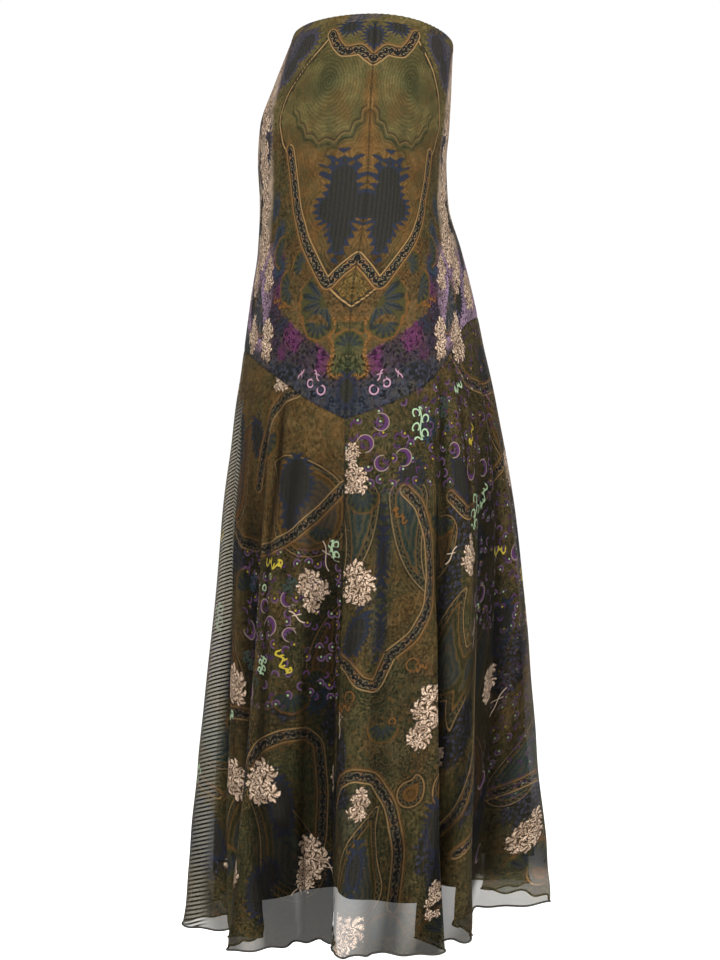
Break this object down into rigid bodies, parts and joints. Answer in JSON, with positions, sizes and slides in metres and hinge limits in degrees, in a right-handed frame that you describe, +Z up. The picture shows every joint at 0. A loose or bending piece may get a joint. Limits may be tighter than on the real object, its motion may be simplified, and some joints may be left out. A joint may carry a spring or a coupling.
{
  "type": "maxi skirt",
  "caption": "Long pull-on skirt in printed sheer mesh: fitted hip yoke cut to a point at each side, flared lower skirt in deep flutes, shorter plain lining, narrow waist casing.",
  "frame": {"origin": "centre of the waist opening, where the wearer's waist holds the skirt up", "axes": "+Z up, -Y the wearer's front, +X the wearer's left"},
  "size_m": [0.5213, 0.4003, 0.9726],
  "materials": {
    "casing_mesh": "olive brown printed mesh, turned double over a narrow elastic",
    "yoke_mesh": "fine stretch mesh printed with olive, brown, gold, navy and violet paisley ornament",
    "skirt_mesh": "fine stretch mesh with the same printed ornament, sheer below the lining, with a dark rolled hem",
    "lining_knit": "plain dark olive knit, matt"
  },
  "bodies": {
    "root": {"waist_casing": "casing_mesh", "yoke_front": "yoke_mesh", "yoke_back": "yoke_mesh", "skirt_front": "skirt_mesh", "skirt_back": "skirt_mesh", "lining_front": "lining_knit", "lining_back": "lining_knit"}
  },
  "joints": []
}
